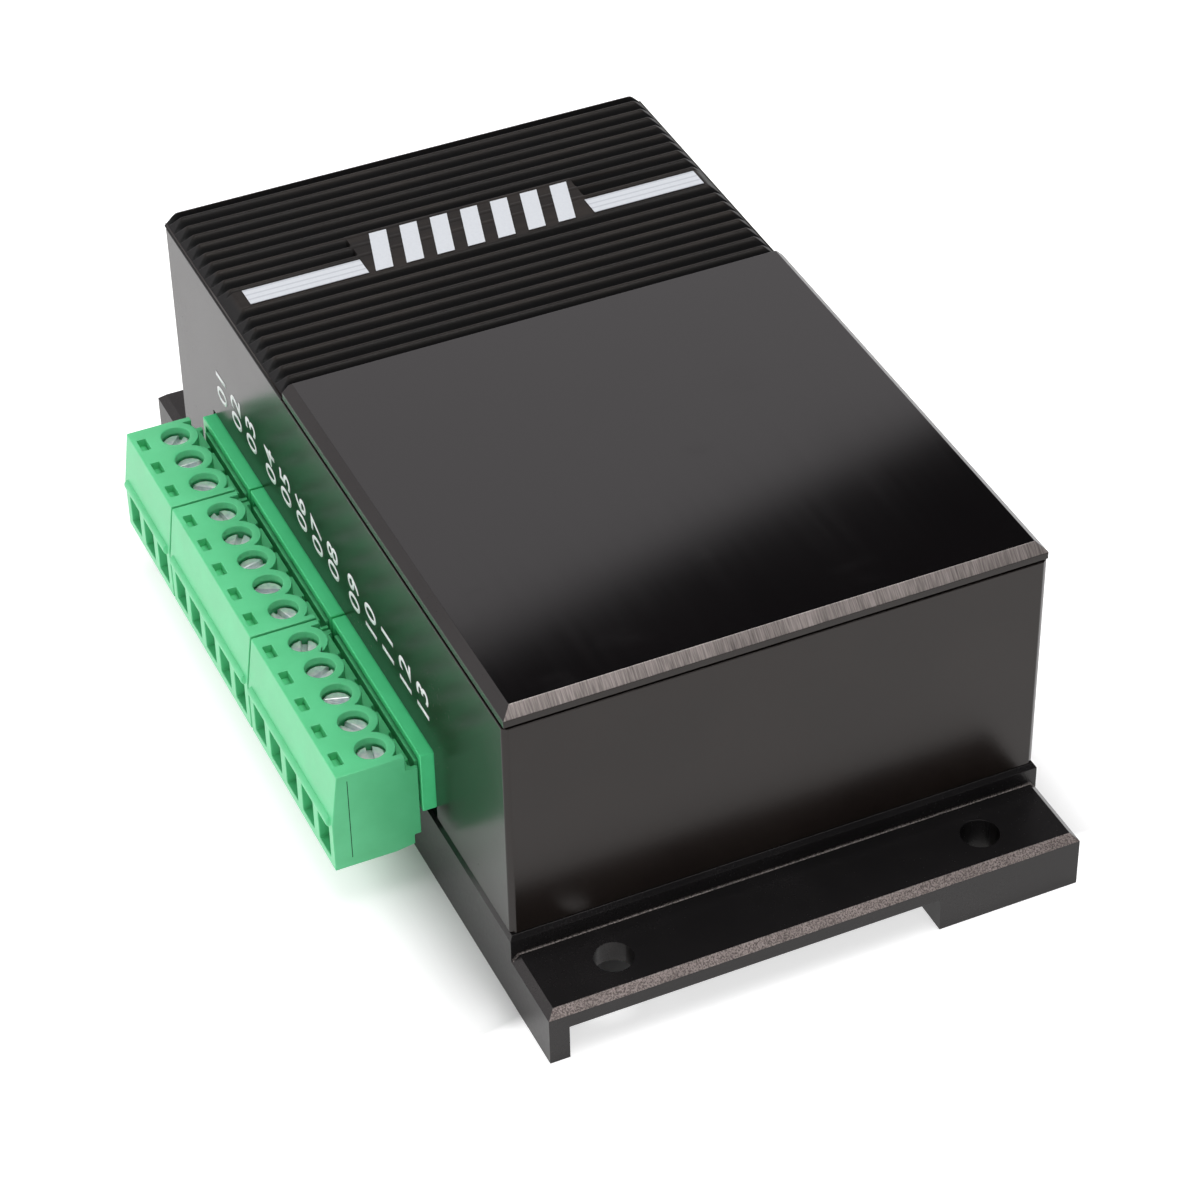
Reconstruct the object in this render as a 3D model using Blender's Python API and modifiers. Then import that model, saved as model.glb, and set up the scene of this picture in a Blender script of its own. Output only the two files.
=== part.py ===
"""Stepper motor driver module: a black base plate with two mounting flanges, a four-walled
aluminium housing, a smooth top plate beside a ribbed heat sink, the circuit board inside,
and three pluggable screw-terminal connectors along one long side.

Frame: origin on the floor under the middle of the whole part, connectors included; +X along
the housing, -Y towards the connectors, +Z up. The pieces are laid out about the middle of the
housing, and the "centre" empty carries them to the origin. Sizes are in millimetres; meshes
are made in metres."""

import math

import bmesh
import bpy
from mathutils import Matrix, Vector

# ---------------------------------------------------------------- driving sizes, millimetres
HOUSING_L = 104.0
HOUSING_W = 64.4
WALL = 2.0
CORNER_CHAMFER = 0.5

GAP = 0.3  # clearance kept between any two pieces that touch or nest

BASE_OVERHANG = 0.4  # the base block stands this much outside the housing walls
FLANGE_L = 10.0  # from the base block to the end of the part
FLANGE_T = 7.3
BLOCK_RISE = 2.4  # top of the block above the flange
FLANGE_CHAMFER = 0.9
BLOCK_CHAMFER = 0.35
NARROW_FOOT = 2.4
WIDE_FOOT = 17.6
CHANNEL_H = 4.6
MOUNT_HOLE_D = 4.5
MOUNT_HOLE_SIDE = 10.0  # hole centre in from the side of the base
MOUNT_HOLE_IN = 5.1  # hole centre in from the end of the flange

BOARD_T = 1.6
BOARD_SEAT = 0.6  # depth of the seat that locates the board in the base
BOARD_LEDGE = 9.0  # length of base left under each end of the board
POCKET_FLOOR = 7.0
POCKET_MARGIN_Y = 3.0

WALL_TOP = 39.3
PLATE_EDGE = 0.9  # upright edge of the top plate below its chamfer
PLATE_CHAMFER = 1.15
PLATE_INNER_BEVEL = 0.35
SINK_L = 40.0  # length of the ribbed part of the top
SEAM = 0.35  # between heat sink and top plate

RIB_PITCH = 2.15
RIB_W = 1.25
RIB_H = 1.25
RIB_TOP_DROP = 0.55  # rib tops below the top plate's face
RIB_END_CHAMFER = 1.4
RIB_COUNT = 18
PAD_X = 9.6  # the flat panel that interrupts the ribs
PAD_Y = 30.0
PAD_OFF_Y = 0.8
SINK_BLOCK_H = 5.0
PEDESTAL_X = 22.0
PEDESTAL_Y = 26.0

CASE_SCREW_D = 3.0
CASE_SCREW_END = 6.4  # screw centre in from the end of the housing
CASE_SCREW_SIDE = 6.6  # and in from its side
CASE_HEAD_D = 5.5
CASE_HEAD_H = 1.9
CASE_SCREW_TIP_IN = 1.7  # screw tip below the underside of the lid
BOSS_D = 8.0

PITCH = 5.08
POLES = (3, 5, 5)
ROW_OFF_X = 3.85  # middle of the row of poles from the middle of the housing
PLUG_GAP_POLES = 1.27  # pitches between the end poles of neighbouring plugs
HEADER_END_WALL = 0.2  # header end outside the plug end
HEADER_H = 8.3
HEADER_DEPTH = 12.0
HEADER_PROUD = 1.65  # header front outside the wall
HEADER_WALL = 1.0
HEADER_BACK = 2.8
PIN = 1.0
PIN_TIP_IN = 2.2  # pin tip behind the header's front
PIN_TAIL = 1.8  # pin tail below the board
PIN_Z_IN_HEADER = 4.0

PLUG_END_WALL_OUT = 0.31  # plug end outside half a pitch from the last pole
PLUG_TOP_ABOVE = 0.55  # plug top above header top
PLUG_BOTTOM_BELOW = 4.7  # plug bottom below header bottom
PLUG_OUT = 11.2  # plug front outside the header front
PLUG_SLANT_IN = 1.35
PLUG_SLANT_H = 5.7
PLUG_LEDGE_DROP = 2.0
PLUG_TOP_REAR = 1.75  # rear of the full-height end walls from the header front
PLUG_STEP_U = 1.1
PLUG_STEP_H = 1.7
PLUG_END_WALL = 0.6
BORE_D = 4.2
BORE_U = 4.6  # bore axis from the header front
BORE_WALL = 0.72
TERMINAL_HEAD_D = 3.6
TERMINAL_HEAD_H = 1.5
TERMINAL_HEAD_DEPTH = 1.05
TERMINAL_SHANK_D = 2.5  # core of an M3 thread
SLOT_W = 0.75
SLOT_DEPTH = 0.8
THREAD_PITCH = 0.5
CLAMP_TURNS = 4.8
CHAMBER_WALL = 0.7
CHAMBER_FLOOR = 0.95
CHAMBER_WEB = 0.6  # plastic between the screw head and the clamp chamber
CLAMP_DEPTH = 4.6
CLAMP_SIDE = 0.4
CLAMP_FLOOR = 1.0
CLAMP_ROOF = 1.2
ENTRY_W = 3.5
ENTRY_H = 4.5
TEST_SLOT_X = 1.9
TEST_SLOT_Y = 0.8
TEST_SLOT_DEPTH = 1.3
TONGUE_IN = 1.0  # end of the tongue inside the header, in from the plug end
SOCKET = 1.7

CAP_D = 12.5
CAP_H = 20.0
CAP_ENDS = (17.0, 32.0)  # capacitor centres in from the +X end of the housing
CAP_SIDE = 18.2  # and in from its +Y side
CHIP = (15.0, 19.0, 3.0)
CHIP_OFF_Y = 8.0
PAD_T = 1.0
CONTROLLER = (10.0, 10.0, 1.5)
CONTROLLER_END = 50.0  # centre in from the +X end of the housing
CONTROLLER_OFF_Y = -4.0
CHOKE = (12.0, 12.0, 6.0)
CHOKE_END = 48.0
CHOKE_SIDE = 15.2

# ---------------------------------------------------------------- sizes that follow
HALF_L = HOUSING_L / 2
HALF_W = HOUSING_W / 2
BLOCK_L = HALF_L + BASE_OVERHANG
BASE_W = HALF_W + BASE_OVERHANG
BASE_END = BLOCK_L + FLANGE_L
BLOCK_TOP = FLANGE_T + BLOCK_RISE
WALL_BASE = BLOCK_TOP + GAP
BOARD_BASE = BLOCK_TOP - BOARD_SEAT + GAP
BOARD_TOP = BOARD_BASE + BOARD_T
BOARD_L = HALF_L - WALL - 2 * GAP
BOARD_W = HALF_W - WALL - 2 * GAP
PLATE_BASE = WALL_TOP + GAP
PLATE_TOP = PLATE_BASE + PLATE_EDGE + PLATE_CHAMFER
RIB_TOP = PLATE_TOP - RIB_TOP_DROP
RIB_ROOT = RIB_TOP - RIB_H
SINK_END = -HALF_L + SINK_L
PLATE_START = SINK_END + SEAM
SINK_BLOCK_BASE = PLATE_BASE - SINK_BLOCK_H
SINK_MID = -HALF_L + SINK_L / 2
CASE_HEAD_TOP = CHANNEL_H + CASE_HEAD_H
CASE_SCREW_X = HALF_L - CASE_SCREW_END
CASE_SCREW_Y = HALF_W - CASE_SCREW_SIDE
CASE_SCREW_TIP = PLATE_BASE - CASE_SCREW_TIP_IN
MOUNT_HOLE_Y = BASE_W - MOUNT_HOLE_SIDE
HEADER_BASE = BOARD_TOP + GAP
HEADER_TOP = HEADER_BASE + HEADER_H
FRONT = -(HALF_W + HEADER_PROUD)  # Y of the header fronts; plugs are outside, tongues inside
HEADER_REAR = FRONT + HEADER_DEPTH
PIN_Z = HEADER_BASE + PIN_Z_IN_HEADER
PIN_LEG_Y = HEADER_REAR + GAP + PIN / 2 + 0.4
PLUG_TOP = HEADER_TOP + PLUG_TOP_ABOVE
PLUG_BASE = HEADER_BASE - PLUG_BOTTOM_BELOW
PLUG_LEDGE = PLUG_TOP - PLUG_LEDGE_DROP
PLUG_REAR = FRONT - GAP
PLUG_FRONT = FRONT - PLUG_OUT
BORE_Y = FRONT - BORE_U
HEAD_TOP = PLUG_TOP - TERMINAL_HEAD_DEPTH
HEAD_BASE = HEAD_TOP - TERMINAL_HEAD_H
BORE_FLOOR = HEAD_BASE - GAP
PLUG_END = PITCH / 2 + PLUG_END_WALL_OUT  # last pole to the end of a plug
HEADER_END = PLUG_END + HEADER_END_WALL
TONGUE_END = PLUG_END - TONGUE_IN
CHAMBER_TOP = BORE_FLOOR - CHAMBER_WEB
CHAMBER_BASE = PLUG_BASE + CHAMBER_FLOOR
CHAMBER_W = PITCH - CHAMBER_WALL
CLAMP_TRAVEL = THREAD_PITCH * CLAMP_TURNS
CLAMP_BASE = CHAMBER_BASE + GAP
CLAMP_TOP = CHAMBER_TOP - GAP - CLAMP_TRAVEL
CLAMP_W = CHAMBER_W - 2 * GAP
SHANK_TIP = CLAMP_TOP - CLAMP_ROOF - 0.3
CENTRE_Y = -(PLUG_FRONT + BASE_W) / 2

GREEN = (0.075, 0.56, 0.22)
BLACK = (0.011, 0.011, 0.012)
SLATE = (0.075, 0.068, 0.070)
SILVER = (0.62, 0.62, 0.60)


# ---------------------------------------------------------------- helpers
for old in list(bpy.data.objects):
    bpy.data.objects.remove(old)

MODEL = bpy.data.collections.new("stepper_driver_module")
GUIDES = bpy.data.collections.new("cutters")
bpy.context.scene.collection.children.link(MODEL)
bpy.context.scene.collection.children.link(GUIDES)

CENTRE = bpy.data.objects.new("centre", None)
CENTRE.location = (0.0, CENTRE_Y * 0.001, 0.0)
MODEL.objects.link(CENTRE)


def material(name, colour, roughness, metallic):
    """A Principled material of one colour."""
    mat = bpy.data.materials.new(name)
    mat.use_nodes = True
    shader = mat.node_tree.nodes["Principled BSDF"]
    shader.inputs["Base Color"].default_value = (*colour, 1.0)
    shader.inputs["Roughness"].default_value = roughness
    shader.inputs["Metallic"].default_value = metallic
    return mat


def add_box(bm, x, y, z):
    """A box between pairs of limits."""
    size = [pair[1] - pair[0] for pair in (x, y, z)]
    middle = [(pair[1] + pair[0]) / 2 for pair in (x, y, z)]
    matrix = Matrix.Translation(middle) @ Matrix.Diagonal((*size, 1.0))
    return bmesh.ops.create_cube(bm, size=1.0, matrix=matrix)["verts"]


def add_cylinder(bm, x, y, z, diameter, sides=20):
    """An upright cylinder between two heights."""
    matrix = Matrix.Translation((x, y, (z[0] + z[1]) / 2))
    bmesh.ops.create_cone(
        bm,
        cap_ends=True,
        segments=sides,
        radius1=diameter / 2,
        radius2=diameter / 2,
        depth=z[1] - z[0],
        matrix=matrix,
    )


def bevel_where(bm, test, width):
    """Chamfers the edges whose middle passes the test."""
    edges = []
    for edge in bm.edges:
        middle = (edge.verts[0].co + edge.verts[1].co) / 2
        if test(middle):
            edges.append(edge)
    bmesh.ops.bevel(bm, geom=edges, offset=width, segments=1, affect="EDGES", profile=0.5)


def mesh_object(name, bm, mat=None, guide=False, origin=(0.0, 0.0, 0.0), parent=None):
    """Turns a bmesh in millimetres into an object in metres with its own origin."""
    shift = Matrix.Scale(0.001, 4) @ Matrix.Translation(-Vector(origin))
    bm.transform(shift)
    mesh = bpy.data.meshes.new(name)
    bm.to_mesh(mesh)
    bm.free()
    return place(name, mesh, mat, guide, origin, parent)


def place(name, mesh, mat, guide, origin, parent):
    """Links an object and puts it at its origin, relative to its parent."""
    obj = bpy.data.objects.new(name, mesh)
    (GUIDES if guide else MODEL).objects.link(obj)
    obj.location = Vector(origin) * 0.001
    obj.parent = CENTRE if parent is None else parent
    if parent is not None:
        obj.location -= parent.location
    if mat is not None:
        mesh.materials.append(mat)
    if guide:
        obj.hide_render = True
        obj.display_type = "WIRE"
    return obj


def outline_solid(points, along, span):
    """A bmesh of a flat outline extruded along X or Y between two limits.

    Along X the points are (y, z); along Y they are (x, z)."""
    curve = bpy.data.curves.new("outline", "CURVE")
    curve.dimensions = "2D"
    curve.fill_mode = "BOTH"
    curve.extrude = (span[1] - span[0]) / 2
    spline = curve.splines.new("POLY")
    spline.points.add(len(points) - 1)
    for point, (across, up) in zip(spline.points, points):
        point.co = (across, up, 0.0, 1.0)
    spline.use_cyclic_u = True
    holder = bpy.data.objects.new("outline", curve)
    GUIDES.objects.link(holder)
    graph = bpy.context.evaluated_depsgraph_get()
    mesh = bpy.data.meshes.new_from_object(holder.evaluated_get(graph))
    bm = bmesh.new()
    bm.from_mesh(mesh)
    bmesh.ops.remove_doubles(bm, verts=bm.verts, dist=1e-5)
    if along == "X":
        turn = Matrix(((0, 0, 1, 0), (1, 0, 0, 0), (0, 1, 0, 0), (0, 0, 0, 1)))
        middle = Vector(((span[0] + span[1]) / 2, 0, 0))
    else:
        turn = Matrix(((1, 0, 0, 0), (0, 0, -1, 0), (0, 1, 0, 0), (0, 0, 0, 1)))
        middle = Vector((0, (span[0] + span[1]) / 2, 0))
    bm.transform(Matrix.Translation(middle) @ turn)
    bmesh.ops.recalc_face_normals(bm, faces=bm.faces)
    bpy.data.objects.remove(holder)
    bpy.data.curves.remove(curve)
    bpy.data.meshes.remove(mesh)
    return bm


def boolean(obj, cutter, operation="DIFFERENCE"):
    """Adds an exact Boolean modifier."""
    mod = obj.modifiers.new(cutter.name, "BOOLEAN")
    mod.operation = operation
    mod.solver = "EXACT"
    mod.object = cutter


def cutter_boxes(name, boxes):
    """One guide object holding several separate boxes."""
    bm = bmesh.new()
    for x, y, z in boxes:
        add_box(bm, x, y, z)
    return mesh_object(name, bm, guide=True)


def cutter_bores(name, bores, sides=20):
    """One guide object holding several separate upright cylinders."""
    bm = bmesh.new()
    for x, y, z, diameter in bores:
        add_cylinder(bm, x, y, z, diameter, sides)
    return mesh_object(name, bm, guide=True)


def around(value, half):
    """The pair of limits either side of a value."""
    return (value - half, value + half)


BLACK_ANODISED = material("black_anodised", BLACK, 0.45, 0.6)
SLATE_ANODISED = material("slate_anodised", SLATE, 0.38, 0.75)
SATIN_PLATE = material("satin_plate", SLATE, 0.22, 0.85)
GREEN_NYLON = material("green_nylon", GREEN, 0.42, 0.0)
ZINC_STEEL = material("zinc_steel", SILVER, 0.3, 1.0)
BLACK_STEEL = material("black_steel", (0.03, 0.03, 0.03), 0.35, 0.9)
TINNED_BRASS = material("tinned_brass", (0.55, 0.52, 0.45), 0.3, 1.0)
BOARD_GREEN = material("board_green", (0.02, 0.12, 0.05), 0.4, 0.0)
CHIP_BLACK = material("chip_black", (0.02, 0.02, 0.022), 0.5, 0.0)
PAD_GREY = material("pad_grey", (0.3, 0.33, 0.38), 0.7, 0.0)
CAN_SLEEVE = material("can_sleeve", (0.02, 0.02, 0.03), 0.3, 0.0)
FERRITE = material("ferrite", (0.05, 0.05, 0.055), 0.6, 0.0)

# ---------------------------------------------------------------- connectors: pole positions
# The row keeps clear of the case screws at both ends.
row_half = (sum(POLES) - 1 + (len(POLES) - 1) * (PLUG_GAP_POLES - 1)) * PITCH / 2
screw_clear = CASE_SCREW_X - CASE_SCREW_D / 2 - 2 * GAP
row_centre = -min(ROW_OFF_X, screw_clear - row_half - HEADER_END)
pole_x = []
groups = []
x = row_centre - row_half
for count in POLES:
    row = [x + k * PITCH for k in range(count)]
    groups.append(row)
    pole_x.extend(row)
    x = row[-1] + PLUG_GAP_POLES * PITCH

# ---------------------------------------------------------------- base plate
bm = bmesh.new()
add_box(bm, (-BASE_END, BASE_END), (-BASE_W, BASE_W), (0.0, FLANGE_T))
bevel_where(bm, lambda p: p.z > FLANGE_T - 0.01, FLANGE_CHAMFER)
base = mesh_object("base_plate", bm, BLACK_ANODISED)
bm = bmesh.new()
add_box(bm, (-BLOCK_L, BLOCK_L), (-BASE_W, BASE_W), (CHANNEL_H / 2, BLOCK_TOP))
bevel_where(bm, lambda p: p.z > BLOCK_TOP - 0.01, BLOCK_CHAMFER)
boolean(base, mesh_object("join_raised_block", bm, guide=True), "UNION")

channel = cutter_boxes(
    "cut_channel",
    [((-BASE_END - 5, BASE_END + 5), (NARROW_FOOT - BASE_W, BASE_W - WIDE_FOOT), (-5, CHANNEL_H))],
)
boolean(base, channel)

corners = [(sx, sy) for sx in (-1, 1) for sy in (-1, 1)]
holes = []
for sx, sy in corners:
    hole_x = sx * (BASE_END - MOUNT_HOLE_IN)
    holes.append((hole_x, sy * MOUNT_HOLE_Y, (-2, FLANGE_T + 2), MOUNT_HOLE_D))
boolean(base, cutter_bores("cut_mount_holes", holes, 24))
seat_x = around(0, BOARD_L + GAP)
seat_y = around(0, BOARD_W + GAP)
boolean(base, cutter_boxes("cut_seat", [(seat_x, seat_y, (BLOCK_TOP - BOARD_SEAT, BLOCK_TOP + 3))]))
pocket_end = BOARD_L - BOARD_LEDGE
pin_clear = PIN / 2 + 2 * GAP
pocket_x = (min(-pocket_end, pole_x[0] - pin_clear), max(pocket_end, pole_x[-1] + pin_clear))
pocket_y = around(0, BOARD_W - POCKET_MARGIN_Y)
boolean(base, cutter_boxes("cut_pocket", [(pocket_x, pocket_y, (POCKET_FLOOR, BLOCK_TOP))]))
recesses = []
shafts = []
for sx, sy in corners:
    x, y = sx * CASE_SCREW_X, sy * CASE_SCREW_Y
    recesses.append((x, y, (-2, CASE_HEAD_TOP + GAP), CASE_HEAD_D + 2 * GAP))
    shafts.append((x, y, (CHANNEL_H, BLOCK_TOP + 2), CASE_SCREW_D + 2 * GAP))
boolean(base, cutter_bores("cut_screw_recesses", recesses))
boolean(base, cutter_bores("cut_screw_shafts", shafts, 16))

# ---------------------------------------------------------------- housing frame
bm = bmesh.new()
add_box(bm, (-HALF_L, HALF_L), (-HALF_W, HALF_W), (WALL_BASE, WALL_TOP))
middle_z = (WALL_BASE + WALL_TOP) / 2
bevel_where(bm, lambda p: abs(p.z - middle_z) < 0.01 and abs(p.x) > 1, CORNER_CHAMFER)
frame = mesh_object("housing_frame", bm, SLATE_ANODISED)
inner = [(around(0, HALF_L - WALL), around(0, HALF_W - WALL), (WALL_BASE - 3, WALL_TOP + 3))]
boolean(frame, cutter_boxes("cut_interior", inner))

row_start = groups[0][0] - HEADER_END
row_end = groups[-1][-1] + HEADER_END
notch = [
    (
        (row_start - GAP, row_end + GAP),
        (-HALF_W - 3, -HALF_W + WALL + 2),
        (WALL_BASE - 3, HEADER_TOP + GAP),
    )
]
boolean(frame, cutter_boxes("cut_notch", notch))

# ---------------------------------------------------------------- top plate
bm = bmesh.new()
add_box(bm, (PLATE_START, HALF_L), (-HALF_W, HALF_W), (PLATE_BASE, PLATE_TOP))
bevel_where(bm, lambda p: p.z > PLATE_TOP - 0.01 and p.x > PLATE_START + 0.01, PLATE_CHAMFER)
bevel_where(bm, lambda p: p.z > PLATE_TOP - 0.01 and p.x < PLATE_START + 0.01, PLATE_INNER_BEVEL)
plate = mesh_object("top_plate", bm, SATIN_PLATE)
bosses = []
threads = []
for sy in (-1, 1):
    bosses.append((CASE_SCREW_X, sy * CASE_SCREW_Y, (SINK_BLOCK_BASE, PLATE_BASE + PLATE_EDGE / 2), BOSS_D))
    deep = (SINK_BLOCK_BASE - 2, CASE_SCREW_TIP + GAP)
    threads.append((CASE_SCREW_X, sy * CASE_SCREW_Y, deep, CASE_SCREW_D + 2 * GAP))
boolean(plate, cutter_bores("join_bosses", bosses, 16), "UNION")
boolean(plate, cutter_bores("cut_boss_threads", threads, 16))

# ---------------------------------------------------------------- heat sink
# Comb outline: each rib has a domed top, the end lands are level with the rib roots.
first_rib = SINK_MID - (RIB_COUNT - 1) / 2 * RIB_PITCH
comb = [(SINK_END, PLATE_BASE), (SINK_END, RIB_ROOT)]
for k in reversed(range(RIB_COUNT)):
    centre = first_rib + k * RIB_PITCH
    comb.append((centre + RIB_W / 2, RIB_ROOT))
    comb.append((centre + RIB_W / 2, RIB_TOP - 0.3))
    comb.append((centre + RIB_W / 2 - 0.3, RIB_TOP))
    comb.append((centre - RIB_W / 2 + 0.3, RIB_TOP))
    comb.append((centre - RIB_W / 2, RIB_TOP - 0.3))
    comb.append((centre - RIB_W / 2, RIB_ROOT))
comb.append((-HALF_L, RIB_ROOT))
comb.append((-HALF_L, PLATE_BASE))
sink = mesh_object("heat_sink", outline_solid(comb, "Y", (-HALF_W, HALF_W)), BLACK_ANODISED)
for side in (-1, 1):
    drop = RIB_TOP - PLATE_BASE - 0.25
    wedge_points = [
        (side * (HALF_W - RIB_END_CHAMFER), RIB_TOP + 0.001),
        (side * HALF_W, RIB_TOP - drop),
        (side * (HALF_W + 1), RIB_TOP - drop),
        (side * (HALF_W + 1), RIB_TOP + 1),
        (side * (HALF_W - RIB_END_CHAMFER), RIB_TOP + 1),
    ]
    span = (-HALF_L - 2, SINK_END + 2)
    wedge = mesh_object("cut_rib_ends_%d" % side, outline_solid(wedge_points, "X", span), guide=True)
    boolean(sink, wedge)
panel = [
    (
        around(SINK_MID - RIB_PITCH / 2, PAD_X / 2),
        around(PAD_OFF_Y, PAD_Y / 2),
        (RIB_ROOT - 0.5, RIB_TOP - 0.08),
    )
]
boolean(sink, cutter_boxes("join_panel", panel), "UNION")
block = [
    (
        (-HALF_L + WALL + 2 * GAP, SINK_END),
        around(0, HALF_W - WALL - 2 * GAP),
        (SINK_BLOCK_BASE, RIB_ROOT - 0.4),
    )
]
boolean(sink, cutter_boxes("join_block", block), "UNION")
chip_x, chip_y = SINK_MID, CHIP_OFF_Y
chip_base = BOARD_TOP + GAP
pad_base = chip_base + CHIP[2] + GAP
pedestal_base = pad_base + PAD_T + GAP
pedestal = [
    (
        around(chip_x, PEDESTAL_X / 2),
        around(chip_y, PEDESTAL_Y / 2),
        (pedestal_base, SINK_BLOCK_BASE + 1),
    )
]
boolean(sink, cutter_boxes("join_pedestal", pedestal), "UNION")
threads = []
for sy in (-1, 1):
    deep = (SINK_BLOCK_BASE - 2, CASE_SCREW_TIP + GAP)
    threads.append((-CASE_SCREW_X, sy * CASE_SCREW_Y, deep, CASE_SCREW_D + 2 * GAP))
boolean(sink, cutter_bores("cut_sink_threads", threads, 16))


# ---------------------------------------------------------------- turned pieces
def turned(name, profile, steps, mat, origin, parent=None):
    """A profile of (radius, height) pairs, top to bottom, turned about Z by a Screw modifier."""
    mesh = bpy.data.meshes.new(name)
    points = [(r * 0.001, 0.0, z * 0.001) for r, z in profile]
    edges = [(k, k + 1) for k in range(len(points) - 1)]
    mesh.from_pydata(points, edges, [])
    obj = place(name, mesh, mat, False, origin, parent)
    mod = obj.modifiers.new("turn", "SCREW")
    mod.axis = "Z"
    mod.steps = steps
    mod.render_steps = steps
    mod.use_merge_vertices = True
    mod.merge_threshold = 1e-6
    mod.use_smooth_shade = False
    return obj


for number, (sx, sy) in enumerate(corners, 1):
    at = (sx * CASE_SCREW_X, sy * CASE_SCREW_Y, CASE_HEAD_TOP)
    down = -CASE_HEAD_H
    up = CASE_SCREW_TIP - CASE_HEAD_TOP
    radius, head = CASE_SCREW_D / 2, CASE_HEAD_D / 2
    outline = [
        (0, up),
        (radius - 0.4, up),
        (radius, up - 0.5),
        (radius, 0),
        (head, 0),
        (head, down + 0.4),
        (head - 0.4, down),
        (0, down),
    ]
    screw = turned("case_screw_%d" % number, outline, 16, BLACK_STEEL, at)
    socket = bmesh.new()
    add_cylinder(socket, at[0], at[1], (at[2] + down - 1, at[2] + down + 1.1), 2.4, 6)
    boolean(screw, mesh_object("cut_socket_%d" % number, socket, guide=True))

# ---------------------------------------------------------------- circuit board and parts on it
bm = bmesh.new()
add_box(bm, around(0, BOARD_L), around(0, BOARD_W), (BOARD_BASE, BOARD_TOP))
board = mesh_object("circuit_board", bm, BOARD_GREEN)
through = (BOARD_BASE - 2, BOARD_TOP + 2)
clear = [(sx * CASE_SCREW_X, sy * CASE_SCREW_Y, through, CASE_SCREW_D + 2 * GAP) for sx, sy in corners]
boolean(board, cutter_bores("cut_board_screws", clear, 16))
leads = [(px, PIN_LEG_Y, through, PIN * math.sqrt(2) + 2 * GAP) for px in pole_x]
boolean(board, cutter_bores("cut_board_pins", leads, 8))


def part_on_board(name, centre, size, base_z, mat, chamfer=0.3):
    """A rectangular part with softened top edges, standing on the board."""
    shape = bmesh.new()
    top = base_z + size[2]
    add_box(shape, around(centre[0], size[0] / 2), around(centre[1], size[1] / 2), (base_z, top))
    bevel_where(shape, lambda p: p.z > top - 0.01, chamfer)
    return mesh_object(name, shape, mat)


part_on_board("driver_chip", (chip_x, chip_y), CHIP, chip_base, CHIP_BLACK)
part_on_board("thermal_pad", (chip_x, chip_y), (CHIP[0] + 2, CHIP[1] + 2, PAD_T), pad_base, PAD_GREY, 0.15)
controller_at = (HALF_L - CONTROLLER_END, CONTROLLER_OFF_Y)
part_on_board("controller_chip", controller_at, CONTROLLER, chip_base, CHIP_BLACK, 0.2)
choke_at = (HALF_L - CHOKE_END, HALF_W - CHOKE_SIDE)
part_on_board("choke", choke_at, CHOKE, chip_base, FERRITE, 0.8)
for number, cap_in in enumerate(reversed(CAP_ENDS), 1):
    radius = CAP_D / 2
    outline = [
        (0, CAP_H),
        (radius - 0.8, CAP_H),
        (radius, CAP_H - 0.8),
        (radius, 2.4),
        (radius - 0.5, 1.9),
        (radius, 1.4),
        (radius, 0.3),
        (radius - 0.3, 0),
        (0, 0),
    ]
    cap_at = (HALF_L - cap_in, HALF_W - CAP_SIDE, chip_base)
    turned("capacitor_%d" % number, outline, 20, CAN_SLEEVE, cap_at)

# ---------------------------------------------------------------- headers and their pins
for number, row in enumerate(groups, 1):
    ends = (row[0] - HEADER_END, row[-1] + HEADER_END)
    bm = bmesh.new()
    add_box(bm, ends, (FRONT, HEADER_REAR), (HEADER_BASE, HEADER_TOP))
    header = mesh_object("header_%d" % number, bm, GREEN_NYLON)
    cavity = [
        (
            (ends[0] + HEADER_WALL - 0.2, ends[1] - HEADER_WALL + 0.2),
            (FRONT - 3, HEADER_REAR - HEADER_BACK),
            (HEADER_BASE + HEADER_WALL, HEADER_TOP - HEADER_WALL),
        )
    ]
    boolean(header, cutter_boxes("cut_cavity_%d" % number, cavity))
    hole = PIN / 2 + GAP
    deep = (HEADER_REAR - HEADER_BACK - 1, HEADER_REAR + 1)
    back = [(around(px, hole), deep, around(PIN_Z, hole)) for px in row]
    boolean(header, cutter_boxes("cut_pin_holes_%d" % number, back))

tip_y = FRONT + PIN_TIP_IN
for number, px in enumerate(pole_x, 1):
    low, high = PIN_Z - PIN / 2, PIN_Z + PIN / 2
    near, far = PIN_LEG_Y - PIN / 2, PIN_LEG_Y + PIN / 2
    tail = BOARD_BASE - PIN_TAIL
    bend = [(tip_y, low), (near, low), (near, tail), (far, tail), (far, high), (tip_y, high)]
    mesh_object("pin_%02d" % number, outline_solid(bend, "X", around(px, PIN / 2)), TINNED_BRASS)

# ---------------------------------------------------------------- plugs
plug_profile = [
    (PLUG_FRONT, PLUG_BASE),
    (FRONT - 3.4, PLUG_BASE),
    (FRONT - PLUG_STEP_U, PLUG_BASE + 0.35),
    (FRONT - PLUG_STEP_U, PLUG_BASE + PLUG_STEP_H),
    (PLUG_REAR, PLUG_BASE + PLUG_STEP_H),
    (PLUG_REAR, PLUG_LEDGE),
    (FRONT - PLUG_TOP_REAR, PLUG_LEDGE),
    (FRONT - PLUG_TOP_REAR, PLUG_TOP),
    (PLUG_FRONT + PLUG_SLANT_IN, PLUG_TOP),
    (PLUG_FRONT, PLUG_TOP - PLUG_SLANT_H),
]
tongue_rear = HEADER_REAR - HEADER_BACK - 2 * GAP
tongue_z = (HEADER_BASE + HEADER_WALL + GAP + 0.1, min(HEADER_TOP - HEADER_WALL - GAP, PLUG_LEDGE) - 0.1)

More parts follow.
